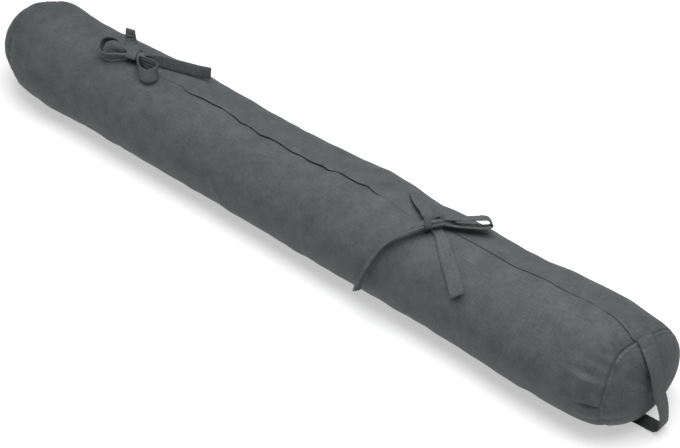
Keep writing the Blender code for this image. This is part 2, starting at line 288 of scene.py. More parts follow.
# Across the opening, front to rear, in mm: place and lift where hems lap, place and lift where they are
# sewn shut, and the share of the gape that lifts this point
ACROSS_OPENING = (
    (-20.0, 0.0, -20.0, 0.0, 0.0),
    (-12.0, 0.0, -12.0, 0.0, 0.0),
    (-5.0, 0.0, -5.0, 0.0, 0.0),
    (-1.0, -0.3, -1.2, 0.0, 0.0),
    (3.0, -1.1, -0.5, -0.3, 0.0),
    (6.0, -1.7, -0.2, -1.2, 0.0),
    (6.6, -1.3, 0.0, -1.6, 0.1),
    (3.0, -0.7, 0.2, -1.2, 0.7),
    (-0.8, 0.0, 0.5, -0.2, 1.0),
    (-1.4, 0.8, 1.0, 0.2, 1.0),
    (-0.4, 1.6, 3.0, 0.3, 1.0),
    (6.0, 1.3, 8.0, 0.1, 0.6),
    (14.0, 0.3, 14.0, 0.0, 0.1),
    (22.0, 0.0, 22.0, 0.0, 0.0),
    (28.0, 0.0, 28.0, 0.0, 0.0),
)

# Straps laid on the bolster: place along, degrees around, lift, degrees that the strap turns on edge, and
# the share of its width that shows where it is gathered
NEAR_ROOT_AND_TAIL = (
    (0.1350, -21, 0.0024, 0, 1.0),
    (0.1410, -15, 0.0036, 0, 1.0),
    (0.1500, -8, 0.0058, 0, 0.97),
    (0.1600, -2, 0.0072, 0, 0.88),
    (0.1690, 4, 0.0068, 0, 0.76),
    (0.1780, 8, 0.0038, 0, 0.65),
    (0.1915, 13, 0.0020, 0, 0.78),
    (0.2045, 21.5, 0.0020, 0, 0.95),
    (0.2175, 31.5, 0.0020, 0, 1.0),
    (0.2305, 41.5, 0.0024, 0, 1.0),
    (0.2435, 52, 0.0052, 0, 1.0),
)
NEAR_EDGE_TAIL = (
    (0.1810, 11, 0.0100, 35, 0.45),
    (0.1755, 17, 0.0096, 45, 0.47),
    (0.1704, 23, 0.0092, 52, 0.50),
    (0.1650, 28, 0.0086, 55, 0.52),
    (0.1580, 35, 0.0080, 56, 0.54),
    (0.1518, 42, 0.0076, 56, 0.55),
    (0.1468, 51, 0.0075, 56, 0.55),
    (0.1430, 61, 0.0073, 56, 0.55),
    (0.1394, 72, 0.0071, 58, 0.55),
    (0.1368, 81, 0.0071, 70, 0.56),
    (0.1346, 90, 0.0072, 90, 0.60),
    (0.1328, 97, 0.0076, 112, 0.64),
    (0.1312, 103, 0.0082, 122, 0.66),
)

# Bow loops and free tails: place along, degrees around and lift of the strap's middle, and the share of its
# width that shows. The width's direction turns evenly from the first given to the last.
FAR_UPRIGHT_TAIL = (
    (-0.2465, 6.0, 0.0034, 0.50),
    (-0.2520, 1.5, 0.0045, 0.62),
    (-0.2571, -3.0, 0.0058, 0.80),
    (-0.2604, -5.2, 0.0073, 0.92),
    (-0.2640, -7.0, 0.0098, 1.00),
    (-0.2664, -8.0, 0.0128, 1.00),
    (-0.2684, -8.8, 0.0165, 1.00),
    (-0.2700, -9.5, 0.0210, 1.00),
    (-0.2710, -10.2, 0.0260, 1.00),
)
FAR_UPRIGHT_ACROSS = ((0.60, 0.80, -0.10), (0.98, -0.03, 0.20))
FAR_LONG_TAIL = (
    (-0.2460, 2.6, 0.0094, 0.42),
    (-0.2400, 2.0, 0.0094, 0.50),
    (-0.2324, 0.3, 0.0086, 0.72),
    (-0.2200, -3.2, 0.0082, 0.95),
    (-0.2060, -6.6, 0.0082, 1.00),
    (-0.1890, -11.1, 0.0086, 1.00),
    (-0.1715, -16.0, 0.0098, 1.00),
    (-0.1572, -21.0, 0.0116, 1.00),
)
FAR_LONG_ACROSS = ((0.05, 0.24, 0.94), (0.36, 0.32, 0.87))
NEAR_LOOP = (
    (0.1815, 6, 0.0115, 0.5),
    (0.1960, -2, 0.0134, 0.8),
    (0.2055, -8, 0.0152, 1.0),
    (0.2135, -14, 0.0168, 1.0),
    (0.2195, -21, 0.0168, 1.0),
    (0.2238, -23, 0.0138, 1.0),
    (0.2243, -22, 0.0106, 1.0),
    (0.2195, -17, 0.0084, 1.0),
    (0.2110, -10, 0.0079, 1.0),
    (0.2000, -2, 0.0077, 0.8),
    (0.1860, 5, 0.0080, 0.5),
)
NEAR_LOOP_ACROSS = ((0.57, -0.69, 0.45), (0.57, -0.69, 0.45))
FAR_LOOP = (
    (-0.2530, 3.0, 0.0105, 0.5),
    (-0.2620, 2.7, 0.0130, 0.8),
    (-0.2740, 1.7, 0.0165, 1.0),
    (-0.2810, 4.5, 0.0185, 1.0),
    (-0.2860, 8.9, 0.0180, 1.0),
    (-0.2860, 14.9, 0.0145, 1.0),
    (-0.2810, 19.5, 0.0115, 1.0),
    (-0.2720, 19.2, 0.0095, 0.95),
    (-0.2630, 13.5, 0.0085, 0.8),
    (-0.2540, 8.2, 0.0085, 0.5),
)
FAR_LOOP_ACROSS = ((0.42, -0.66, 0.62), (0.10, -0.30, 0.95))
DROOPING_LOOP = (
    (-0.2400, 5.0, 0.0085, 0.50),
    (-0.2335, 9.5, 0.0100, 0.70),
    (-0.2270, 14.0, 0.0110, 0.90),
    (-0.2198, 18.2, 0.0115, 1.00),
    (-0.2130, 19.8, 0.0115, 1.00),
    (-0.2065, 18.4, 0.0115, 1.00),
    (-0.2023, 14.9, 0.0115, 1.00),
    (-0.2020, 10.4, 0.0115, 1.00),
    (-0.2060, 7.4, 0.0112, 1.00),
    (-0.2140, 6.0, 0.0105, 0.90),
    (-0.2250, 5.2, 0.0095, 0.70),
    (-0.2350, 4.4, 0.0085, 0.50),
)
DROOPING_LOOP_ACROSS = ((-0.15, 0.25, 0.95), (-0.15, 0.25, 0.95))

# Gathered strap inside the knots: place along, degrees around and lift of its middle, half width and half
# height in mm
NEAR_KNOT = (
    (0.1680, 24, 0.0088, 2.4, 3.0),
    (0.1740, 17, 0.0096, 3.6, 4.4),
    (0.1800, 11, 0.0096, 4.8, 5.6),
    (0.1860, 6, 0.0094, 4.6, 5.2),
    (0.1920, 2, 0.0098, 3.4, 3.4),
    (0.1980, -2, 0.0094, 2.2, 2.6),
)
FAR_KNOT = (
    (-0.2570, 5, 0.0085, 3.0, 3.0),
    (-0.2510, 4, 0.0092, 5.0, 4.2),
    (-0.2440, 2, 0.0094, 5.0, 4.4),
    (-0.2380, 1, 0.0094, 4.2, 4.2),
    (-0.2320, 0, 0.0092, 3.0, 3.6),
)

# Straps wrapped over the knots: place along, degrees around and lift of the middle, degrees turned about the
# vertical, half width and half height of the turn, first and last degrees of the turn, share of the strap's
# width that shows
NEAR_WRAP = (0.1770, 13.5, 0.0100, 45, 0.0070, 0.0058, -80, 115, 0.45)
FAR_WRAP = (-0.2478, 3.5, 0.0084, 15, 0.0082, 0.0068, -75, 100, 0.86)
NEAR_ARCH = (
    (0.1800, 10.5, 0.0120, 0.22),
    (0.1812, 7.5, 0.0158, 0.25),
    (0.1835, 5.0, 0.0172, 0.25),
    (0.1865, 4.0, 0.0150, 0.25),
    (0.1890, 4.5, 0.0110, 0.22),
)
NEAR_ARCH_ACROSS = ((0.45, -0.55, 0.70), (0.45, -0.55, 0.70))

# Inside a knot: the length of strap gathered there, the pleats around its core and their twist in radians
NEAR_KNOT_PLEATS = 6
NEAR_KNOT_TWIST = 1.2
FAR_KNOT_PLEATS = 5
FAR_KNOT_TWIST = 0.8

# The carry loop's middle line from the top of the near seam to its foot, in mm
CARRY_LOOP = (
    (415.2, 4.5, 112.2),
    (419.0, 3.8, 110.2),
    (424.0, 2.0, 106.2),
    (430.0, -0.5, 101.0),
    (434.8, -2.6, 95.0),
    (438.8, -3.8, 88.2),
    (442.0, -4.6, 79.0),
    (445.2, -4.6, 68.0),
    (448.4, -3.2, 57.0),
    (451.2, -0.8, 46.0),
    (453.4, 2.0, 32.0),
    (454.2, 4.2, 18.0),
    (453.0, 5.6, 8.7),
    (449.0, 6.2, 3.4),
    (442.5, 6.6, 1.7),
    (435.0, 6.3, 1.7),
    (428.0, 5.8, 1.7),
    (421.2, 5.0, 1.7),
)
CARRY_LOOP_WIDTH = 0.0170

# How the carry loop's width turns with its height: height and direction
CARRY_LOOP_ACROSS = (
    (0.000, 0.00, 1.00, 0.00),
    (0.006, 0.00, 0.97, -0.15),
    (0.020, 0.00, 0.90, -0.38),
    (0.046, 0.05, 0.96, -0.22),
    (0.075, 0.14, 0.98, -0.05),
    (0.095, 0.22, 0.97, 0.00),
    (0.112, 0.38, 0.92, 0.00),
)

# Straps in section
STRAP_CLOTH = 0.0018
EDGE_POWER = 10
PLEATS = 1.5
PLEAT_HEIGHT = 0.0018
PLEAT_RIPPLE = 0.13
FOLDED_END = 0.010
FOLDED_END_SWELL = 0.60
FOLDED_END_STEP = 0.001
END_TAPER = 0.0008
TIP_THICKNESS = 0.45
PUCKER_HEIGHT = 0.00010
PUCKER_WAVES = (0.0046, 0.0073)

# Stitches
STITCH_INSET = 0.0016
STITCH_GROOVE = 0.00022
STITCH_GROOVE_WIDTH = 0.0005
STITCH_LENGTH = 0.0018
STITCH_PITCH = 0.0026
STITCH_RADIUS = 0.00024
STITCH_POINTS = 6
STITCH_RINGS = ((-1.0, 0.4), (-0.7, 1.0), (0.7, 1.0), (1.0, 0.4))
PANEL_STITCH_FRACTION = 0.962
PANEL_STITCHES = 150

# Colours and weave
CANVAS_DARK = (0.046, 0.052, 0.0535, 1.0)
CANVAS_LIGHT = (0.099, 0.105, 0.107, 1.0)
STRAP_DARK = (0.056, 0.061, 0.062, 1.0)
STRAP_LIGHT = (0.102, 0.107, 0.109, 1.0)
THREAD_PITCH = 0.00075
SLUB_LENGTH = 0.011
SLUB_WIDTH = 0.0011
SLUB_DETAIL = 3.0
MOTTLE_SIZE = 0.022
MOTTLE_SHARE = 0.9
TONE_RANGE = (0.30, 0.70)
THREAD_RELIEF = 0.35
WEAVE_RELIEF = 0.0003
WEAVE_RELIEF_STRENGTH = 0.55
CANVAS_ROUGHNESS = 0.62
CANVAS_SPECULAR = 0.20
FLOOR = (0.56, 0.56, 0.56, 1.0)
FLOOR_ROUGHNESS = 0.9
FLOOR_GLOW = 0.47
FLOOR_SIZE = 12.0
WHITE = (1.0, 1.0, 1.0, 1.0)

# Light. The soft boxes are turned to the origin: name, place, size and power
SKY_STRENGTH = 0.16
SOFT_BOXES = (
    ("overhead", (0.35, -0.10, 1.45), 1.0, 23.5),
    ("overhead_left", (-0.30, -0.05, 1.45), 1.0, 10.0),
    ("front_left", (-0.90, -1.50, 0.90), 1.4, 1.2),
)


def smooth(places, values, wanted):
    """Values at the wanted places, on a smooth curve through the rows of a table."""
    places = np.asarray(places, float)
    values = np.asarray(values, float)
    wanted = np.clip(np.asarray(wanted, float), places[0], places[-1])
    slopes = np.gradient(values, places, axis=0)
    row = np.clip(np.searchsorted(places, wanted, side="right") - 1, 0, len(places) - 2)
    span = places[row + 1] - places[row]
    part = (wanted - places[row]) / span
    if values.ndim > 1:
        part = part[:, None]
        span = span[:, None]
    rise = part * part * (3 - 2 * part)
    leave = part * (1 - part) ** 2
    arrive = part * part * (part - 1)
    change = values[row + 1] - values[row]
    return values[row] + rise * change + span * (leave * slopes[row] + arrive * slopes[row + 1])


def column(table, index):
    return np.array([row[index] for row in table], float)


def unit(vectors):
    return vectors / np.linalg.norm(vectors, axis=-1, keepdims=True)


def blend(directions, share):
    first, last = np.array(directions)
    return first + (last - first) * share[:, None]


def centred(angles):
    """The same angles between -180 and 180 degrees."""
    return (angles + 180) % 360 - 180


def part_way(values, start, end):
    """0 before the start, 1 after the end and an even rise between."""
    return np.clip((values - start) / (end - start), 0.0, 1.0)


def along_rows(table, steps=STRAP_STEPS):
    rows = np.array(table)
    return smooth(np.arange(len(rows)), rows, np.linspace(0, len(rows) - 1, steps + 1))


# The bolster's surface


def tube_at(along):
    """Half width, sideways shift and height of the middle of the filled tube."""
    rows = np.array(SECTIONS) * MM
    half_width, shift, rise = smooth(rows[:, 0], rows[:, 1:], along).T
    return half_width, shift, FLATTEN * half_width - SETTLE + rise


def half_width_at(along):
    return tube_at(np.array([along]))[0][0]


def hollow_at(along, around):
    depth = np.zeros(np.broadcast(along, around).shape)
    for place, angle, most, reach_along, reach_around in HOLLOWS:
        far = ((along - place) / reach_along) ** 2 + ((around - angle) / reach_around) ** 2
        depth = depth + most * np.exp(-far)
    return depth


def surface(along, around, lift=0.0):
    """Points above the bolster's cloth. None is below the floor."""
    along, around, lift = np.broadcast_arrays(np.atleast_1d(along), around, lift)
    half_width, shift, middle = tube_at(along)
    turned = np.radians(around)
    reach = lift - hollow_at(along, around)
    lean = LEAN * part_way(along, LEAN_START, NEAR_SEAM) ** 2
    pull = PULL * part_way(along, PULL_START, NEAR_SEAM) ** 2
    x = along - lean * np.sin(turned) - pull * np.exp(-(((around - PULL_ANGLE) / PULL_REACH) ** 2))
    y = shift - (half_width + reach) * np.sin(turned)
    z = middle + (FLATTEN * half_width + reach) * np.cos(turned)
    return np.stack((x, y, np.maximum(z, 0.0)), axis=1)


def outward(around):
    turned = np.radians(around)
    return np.stack((np.zeros(len(turned)), -np.sin(turned), np.cos(turned)), axis=1)


def fold_relief(along, around, half_width):
    """Height of the soft folds at these points."""
    relief = np.zeros(len(around))
    for place, angle, heading, half_length, half_fold, height in FOLDS:
        forward = along - place
        sideways = np.radians(centred(around - angle)) * half_width
        turned = np.radians(heading)
        down = (forward * np.cos(turned) + sideways * np.sin(turned)) / (half_length * MM)
        over = (sideways * np.cos(turned) - forward * np.sin(turned)) / (half_fold * MM)
        relief += height * MM * np.exp(-(down**2) - over**2)
    return relief


def gathers(around, turn):
    """Height of the gathers around a seam, turned for each end so that no two ends are alike."""
    turned = np.radians(around)
    height = np.zeros(len(around))
    for count, phase, most in GATHERS:
        height += most * MM * np.cos(count * turned + np.radians(phase + turn))
    return height


def lumps(along, around):
    turned = np.radians(around)
    height = np.zeros(len(around))
    for waves_along, waves_around, phase, most in LUMPS:
        angle = waves_along * along * 2 * np.pi + waves_around * turned + np.radians(phase)
        height += most * MM * np.cos(angle)
    return height


def seam_depth(away):
    """How far the cloth dips at this distance from the seam of an end panel."""
    groove = SEAM_GROOVE * np.exp(-((away / SEAM_GROOVE_REACH) ** 2))
    return groove + SEAM_DIP * np.exp(-((away / SEAM_DIP_REACH) ** 2))


def cloth_relief(along, around):
    """Height of folds, gathers and unevenness over the plain surface."""
    relief = fold_relief(along, around, half_width_at(along)) + lumps(along, around)
    for seam, turn in ((NEAR_SEAM, NEAR_TURN), (FAR_SEAM, FAR_TURN)):
        away = abs(seam - along)
        relief += gathers(around, turn) * np.exp(-away / GATHER_REACH)
        relief -= seam_depth(away)
    return relief


def lapped_share(along):
    """1 where the hems lap, 0 where they are sewn shut, with a short change between."""
    first, last = OPENING_ENDS
    inside = min(along - first, last - along) / OPENING_FADE
    return float(np.clip(0.5 + 0.5 * inside, 0.0, 1.0))


def ring_shape(along):
    """Angles and lifts of the points of one section, from just before the opening round to it again."""
    rows = np.array(ACROSS_OPENING)
    table = along_rows(rows, CROSSING_STEPS * (len(rows) - 1))
    share = lapped_share(along)
    gape = smooth(column(GAPE, 0), column(GAPE, 1), [along])[0]
    place = share * table[:, 0] + (1 - share) * table[:, 2]
    depth = smooth(column(SEAM_DEPTH, 0), column(SEAM_DEPTH, 1), [along])[0]
    lift = share * (table[:, 1] + gape * table[:, 4]) + (1 - share) * depth * table[:, 3]
    line = smooth(column(OPENING_LINE, 0), column(OPENING_LINE, 1), [along])[0]
    crossing = line - np.degrees(place * MM / half_width_at(along))
    spread = np.arange(1, COVER_ROUND + 1) / (COVER_ROUND + 1)
    rest = crossing[-1] + spread * (crossing[0] - 360 - crossing[-1])
    angles = np.concatenate((crossing, rest))
    lifts = np.concatenate((lift * MM, np.zeros(COVER_ROUND)))
    return angles, lifts


def cover_ring(along):
    angles, lifts = ring_shape(along)
    around = centred(angles)
    return surface(along, around, lifts + cloth_relief(along, around)), angles


def dome_ring(seam, crown, fraction, angles, lift):
    """A ring of a crowned end: this fraction of its seam's size, lifted off the panel's outer face."""
    side = np.sign(seam)
    rim = surface(seam, angles)
    half_width, shift, height = (value[0] for value in tube_at(np.array([seam])))
    slope = CROWN_POWER * crown * fraction ** (CROWN_POWER - 1) / half_width
    long = np.hypot(1.0, slope)
    middle = np.array((seam, shift, height))
    share = fraction + lift * slope / long / half_width
    ring = middle + (rim - middle) * np.reshape(share, (-1, 1))
    ring[:, 0] += side * (crown * (1 - fraction**CROWN_POWER) + lift / long)
    ring[:, 2] = np.maximum(ring[:, 2], 0.0)
    return ring


# Meshes


def grid_faces(rows, columns, first=0):
    """Faces between rings of points, each ring closed on itself."""
    ring = np.arange(columns)
    after = (ring + 1) % columns
    faces = []
    for row in range(rows - 1):
        near = first + row * columns
        far = near + columns
        faces += np.stack((near + ring, near + after, far + after, far + ring), axis=1).tolist()
    return faces


def cap_faces(start, columns):
    """Faces that close a ring, point to the point that faces it."""
    half = columns // 2
    faces = [(start, start + 1, start + columns - 1)]
    for index in range(1, half - 1):
        facing = start + columns - index
        faces.append((start + index, start + index + 1, facing - 1, facing))
    faces.append(tuple(range(start + half - 1, start + columns - half + 2)))
    return faces


def swept_part(rings, weave):
    """Points, faces and weave coordinates of a closed tube of rings."""
    count, columns = rings.shape[:2]
    faces = grid_faces(count, columns) + cap_faces(0, columns) + cap_faces((count - 1) * columns, columns)
    return rings.reshape(-1, 3), faces, weave.reshape(-1, 2)


def closed_weave(mesh, weave, way_round):
    """Weave coordinates for each corner, carried on over the line where a tube closes."""
    starts = np.empty(len(mesh.polygons), dtype=np.int32)
    totals = np.empty(len(mesh.polygons), dtype=np.int32)
    mesh.polygons.foreach_get("loop_start", starts)
    mesh.polygons.foreach_get("loop_total", totals)
    most = np.repeat(np.maximum.reduceat(weave[:, 1], starts), totals)
    weave[:, 1] += np.where(most - weave[:, 1] > way_round / 2, way_round, 0.0)
    return weave


def new_mesh_object(name, parts, material, way_round=None):
    """One object of several closed parts, of a tube with this way round it where that is given."""
    points = []
    faces = []
    weave = []
    for part_points, part_faces, part_weave in parts:
        start = len(points)
        points += part_points.tolist()
        weave += part_weave.tolist()
        faces += [[start + corner for corner in face] for face in part_faces]
    mesh = bpy.data.meshes.new(name)
    mesh.from_pydata(points, [], faces)
    corners = np.empty(len(mesh.loops), dtype=np.int32)
    mesh.loops.foreach_get("vertex_index", corners)
    layer = mesh.uv_layers.new(name=WEAVE_MAP)
    at_corners = np.array(weave)[corners]
    if way_round:
        at_corners = closed_weave(mesh, at_corners, way_round)
    layer.data.foreach_set("uv", at_corners.ravel())
    turn_outward(mesh)
    mesh.materials.append(material)
    mesh.shade_smooth()
    thing = bpy.data.objects.new(name, mesh)
    bpy.context.scene.collection.objects.link(thing)
    return thing


def turn_outward(mesh):
    shape = bmesh.new()
    shape.from_mesh(mesh)
    bmesh.ops.recalc_face_normals(shape, faces=shape.faces)
    shape.to_mesh(mesh)
    shape.free()


# Cover and end panels


def bolster_cover(material):
    """The filled tube with its lapped opening, folds and gathers. Its own ends lie under the panels."""
    even = np.linspace(FAR_SEAM + CLEAR, NEAR_SEAM - CLEAR, COVER_STATIONS)
    close = CLEAR + np.array(SEAM_STATIONS)
    stations = np.unique(np.concatenate((even, FAR_SEAM + close, NEAR_SEAM - close)))
    usual_width = half_width_at(0)
    rings = []
    weave = []
    for along in stations:
        ring, angles = cover_ring(along)
        rings.append(ring)
        weave.append(np.stack((np.full(len(angles), along), np.radians(angles) * usual_width), axis=1))
    inset = CLOTH + CLEAR
    for seam, crown, forward in ((FAR_SEAM, FAR_CROWN, False), (NEAR_SEAM, NEAR_CROWN, True)):
        angles = ring_shape(seam)[0]
        for fraction in COVER_CAP:
            ring = dome_ring(seam, crown, fraction, angles, np.full(len(angles), -inset))
            flat = np.stack((np.full(len(angles), seam), np.radians(angles) * fraction), axis=1)
            place = len(rings) if forward else 0
            rings.insert(place, ring)
            weave.insert(place, flat)
    part = swept_part(np.array(rings), np.array(weave))
    return new_mesh_object("canvas_cover", [part], material, way_round=2 * np.pi * usual_width)


def end_panel_cover(name, seam, crown, turn, material):
    """A crowned disc of canvas, puckered where it is sewn in, with its cloth's inner face under it."""
    angles = np.linspace(-180, 180, PANEL_POINTS, endpoint=False)
    fractions = 1 - np.linspace(0, 1, PANEL_RINGS) ** PANEL_RING_CROWDING * (1 - PANEL_MIDDLE)
    half_width = half_width_at(seam)
    outer = []
    for fraction in fractions:
        away = (1 - fraction) * half_width
        lift = gathers(angles, turn + PANEL_GATHER_TURN) * np.exp(-away / PANEL_GATHER_REACH)
        lift -= seam_depth(away)
        outer.append(dome_ring(seam, crown, fraction, angles, lift))
    under = np.full(len(angles), -CLOTH)
    inner = [dome_ring(seam, crown, fraction, angles, under) for fraction in fractions]
    rings = np.array(outer[::-1] + inner)
    weave = rings[:, :, 1:].copy()
    return new_mesh_object(name, [swept_part(rings, weave), panel_stitches(seam, crown)], material)


def panel_stitches(seam, crown):
    """A round of stitches just inside the seam of an end panel."""
    angles = np.linspace(-180, 180, PANEL_STITCHES, endpoint=False)
    flat = np.zeros(len(angles))
    centres = dome_ring(seam, crown, PANEL_STITCH_FRACTION, angles, flat)
    above = dome_ring(seam, crown, PANEL_STITCH_FRACTION, angles, flat + MM)
    heading = unit(np.roll(centres, -1, axis=0) - np.roll(centres, 1, axis=0))
    return stitches(centres, heading, unit(above - centres))


# Straps


def section_places():
    """Places across a strap's section, once over its top and back under it, and which side each is on."""
    over = -np.cos(np.linspace(0, np.pi, SECTION_POINTS))
    places = np.concatenate((over, over[-2:0:-1]))
    sides = np.concatenate((np.ones(SECTION_POINTS), -np.ones(SECTION_POINTS - 2)))
    return places, sides


def end_swell(distance):
    """How much thicker a strap is near its free end, where it is folded back, with its rounded tip."""
    folded = 1 + FOLDED_END_SWELL * part_way(FOLDED_END - distance, 0.0, FOLDED_END_STEP)
    return folded * (TIP_THICKNESS + (1 - TIP_THICKNESS) * part_way(distance, 0.0, END_TAPER))


def strap_frame(middle, across):
    """Directions along, across and out of a strap, and the run along it."""
    forward = unit(np.gradient(middle, axis=0))
    across = unit(across - forward * np.sum(across * forward, axis=1, keepdims=True))
    steps = np.linalg.norm(np.diff(middle, axis=0), axis=1)
    return forward, across, np.cross(forward, across), np.concatenate(([0.0], np.cumsum(steps)))


def strap_height(places, sides, share, swell, run, width):
    """How far a strap's face lies off its middle, with its stitched lines, pleats and puckers."""
    body = np.sqrt(np.maximum(1 - np.abs(places) ** EDGE_POWER, 0.0)) * STRAP_CLOTH / 2
    from_line = (np.abs(places) * width / 2 - (width / 2 - STITCH_INSET)) / STITCH_GROOVE_WIDTH
    body = body - STITCH_GROOVE * np.exp(-(from_line**2))
    height = sides * body * swell + PLEAT_HEIGHT * (1 - share) * np.cos(2 * np.pi * PLEATS * places)
    for wave in PUCKER_WAVES:
        height = height + PUCKER_HEIGHT * np.cos(2 * np.pi * run / wave + places)
    return height


def strap_parts(middle, across, share, free_end=False, sewn_start=False, width=STRAP_WIDTH):
    """A folded strap along its middle line, with its stitches. It pleats where only a share of its width
    shows."""
    forward, across, up, run = strap_frame(middle, across)
    swell = end_swell(run[-1] - run) if free_end else np.ones(len(run))
    places, sides = section_places()
    wide = np.reshape(share, (-1, 1))
    height = strap_height(places, sides, wide, swell[:, None], run[:, None], width)
    reach = wide * places * width / 2
    rings = middle[:, None] + across[:, None] * reach[:, :, None] + up[:, None] * height[:, :, None]
    weave = np.stack(np.broadcast_arrays(run[:, None], places * width / 2), axis=2)
    boxes = [run[-1] - FOLDED_END + STITCH_INSET] if free_end else []
    if sewn_start:
        boxes.append(STITCH_INSET)
    strap = (middle, across, up, forward)
    parts = [swept_part(rings, weave)]
    for side in (1.0, -1.0):
        for row in stitch_rows(run[-1], width / 2 - STITCH_INSET, boxes):
            parts.append(row_of_stitches(row, side, run, share, swell, strap, width))
    return parts


def row_of_stitches(row, side, run, share, swell, strap, width):
    """Stitches on one face of a strap, from a start to an end along it and across it."""
    start, start_off, end, end_off = row
    count = max(int(np.hypot(end - start, end_off - start_off) / STITCH_PITCH), 2)
    part = (np.arange(count) + 0.5) / count
    at = start + part * (end - start)
    off = start_off + part * (end_off - start_off)
    at_share, at_swell = (np.interp(at, run, values) for values in (share, swell))
    face = strap_height(off / (width / 2), side, at_share, at_swell, at, width)
    middle, across, up, forward = (
        np.stack([np.interp(at, run, values[:, axis]) for axis in range(3)], axis=1) for values in strap
    )
    centres = middle + across * (off * at_share)[:, None] + up * face[:, None]
    heading = unit(forward * (end - start) + across * (end_off - start_off))
    return stitches(centres, heading, up)


def stitch_rows(length, line, boxes):
    """Rows of stitches on a strap: start and end, each as distance along it and from its middle."""
    rows = [(0.0, line, length, line), (0.0, -line, length, -line)]
    for start in boxes:
        end = start + FOLDED_END - 2 * STITCH_INSET
        rows.append((start, -line, start, line))
        rows.append((end, -line, end, line))
        rows.append((start, -line, end, line))
        rows.append((start, line, end, -line))
    return rows


def stitches(centres, heading, up):
    """Short raised threads that lie half in the cloth."""
    aside = unit(np.cross(up, heading))
    turn = 2 * np.pi * np.arange(STITCH_POINTS) / STITCH_POINTS
    upright = np.cross(heading, aside)
    around = aside[:, None] * np.cos(turn)[:, None] + upright[:, None] * np.sin(turn)[:, None]
    points = []
    faces = []
    for index, centre in enumerate(centres):
        rings = [
            centre + heading[index] * place * STITCH_LENGTH / 2 + around[index] * size * STITCH_RADIUS
            for place, size in STITCH_RINGS
        ]
        flat = np.zeros((len(STITCH_RINGS), STITCH_POINTS, 2))
        thread, thread_faces, _ = swept_part(np.array(rings), flat)
        faces += [[len(points) + corner for corner in face] for face in thread_faces]
        points += thread.tolist()
    return np.array(points), faces, np.zeros((len(points), 2))


def laid_path(table):
    """Middle line, width's direction and share of a strap that follows the bolster."""
    rows = along_rows(table)
    middle = surface(rows[:, 0], rows[:, 1], rows[:, 2])
    forward = unit(np.gradient(middle, axis=0))
    flat = unit(np.cross(outward(rows[:, 1]), forward))
    raised = np.cross(forward, flat)
    turn = np.radians(rows[:, 3])[:, None]
    return middle, np.cos(turn) * flat + np.sin(turn) * raised, rows[:, 4]


def free_path(table, directions):
    """Middle line, width's direction and share of a strap that stands off the bolster."""
    rows = along_rows(table)
    middle = surface(rows[:, 0], rows[:, 1], rows[:, 2])
    return middle, blend(directions, np.linspace(0, 1, len(middle))), rows[:, 3]


def gathered_core(table, pleats, twist):
    """Strap gathered to a pleated cord inside a knot."""
    rows = along_rows(table, ROLL_STEPS)
    middle = surface(rows[:, 0], rows[:, 1], rows[:, 2])
    forward = unit(np.gradient(middle, axis=0))
    wide = unit(np.cross(outward(rows[:, 1]), forward))
    high = np.cross(forward, wide)
    angle = np.pi - 2 * np.pi * np.arange(ROLL_POINTS) / ROLL_POINTS
    turned = twist * np.linspace(-1, 1, len(rows))[:, None]
    ripple = MM * (1 + PLEAT_RIPPLE * np.cos(pleats * angle + turned))
    sideways = rows[:, 3, None] * ripple * np.cos(angle)
    upward = rows[:, 4, None] * ripple * np.sin(angle)
    rings = middle[:, None] + wide[:, None] * sideways[:, :, None] + high[:, None] * upward[:, :, None]
    run = np.concatenate(([0.0], np.cumsum(np.linalg.norm(np.diff(middle, axis=0), axis=1))))
    weave = np.stack(np.broadcast_arrays(run[:, None], angle * STRAP_WIDTH / 2), axis=2)
    return swept_part(rings, weave)


def wrap_path(along, around, lift, turned, half_wide, half_high, first, last, share):
    """Path of a strap over a knot."""
    tilt = Matrix.Rotation(np.radians(turned), 3, "Z") @ Matrix.Rotation(np.radians(around), 3, "X")
    long, wide, high = np.array(tilt).T
    turn = np.radians(np.linspace(first, last, STRAP_STEPS + 1))[:, None]
    round_knot = wide * half_wide * np.sin(turn) + high * half_high * np.cos(turn)
    middle = surface(along, around, lift)[0] + round_knot
    return middle, np.tile(long, (len(turn), 1)), np.full(len(turn), share)


# Materials


def join_math(tree, operation, first, second=None):
    node = tree.nodes.new("ShaderNodeMath")
    node.operation = operation
    for socket, value in zip(node.inputs, (first, second)):
        if value is None:
            continue
        if isinstance(value, (int, float)):
            socket.default_value = value
        else:
            tree.links.new(value, socket)
    return node.outputs["Value"]


def streaks(tree, weave, length_along, length_over):
    """Noise drawn out one way, like thick and thin yarn."""
    mapping = tree.nodes.new("ShaderNodeMapping")
    mapping.inputs["Scale"].default_value = (1 / length_along, 1 / length_over, 1.0)
    tree.links.new(weave, mapping.inputs["Vector"])
    noise = tree.nodes.new("ShaderNodeTexNoise")
    noise.noise_dimensions = "2D"
    noise.inputs["Scale"].default_value = 1.0
    noise.inputs["Detail"].default_value = SLUB_DETAIL
    tree.links.new(mapping.outputs["Vector"], noise.inputs["Vector"])
    return noise.outputs["Fac"]


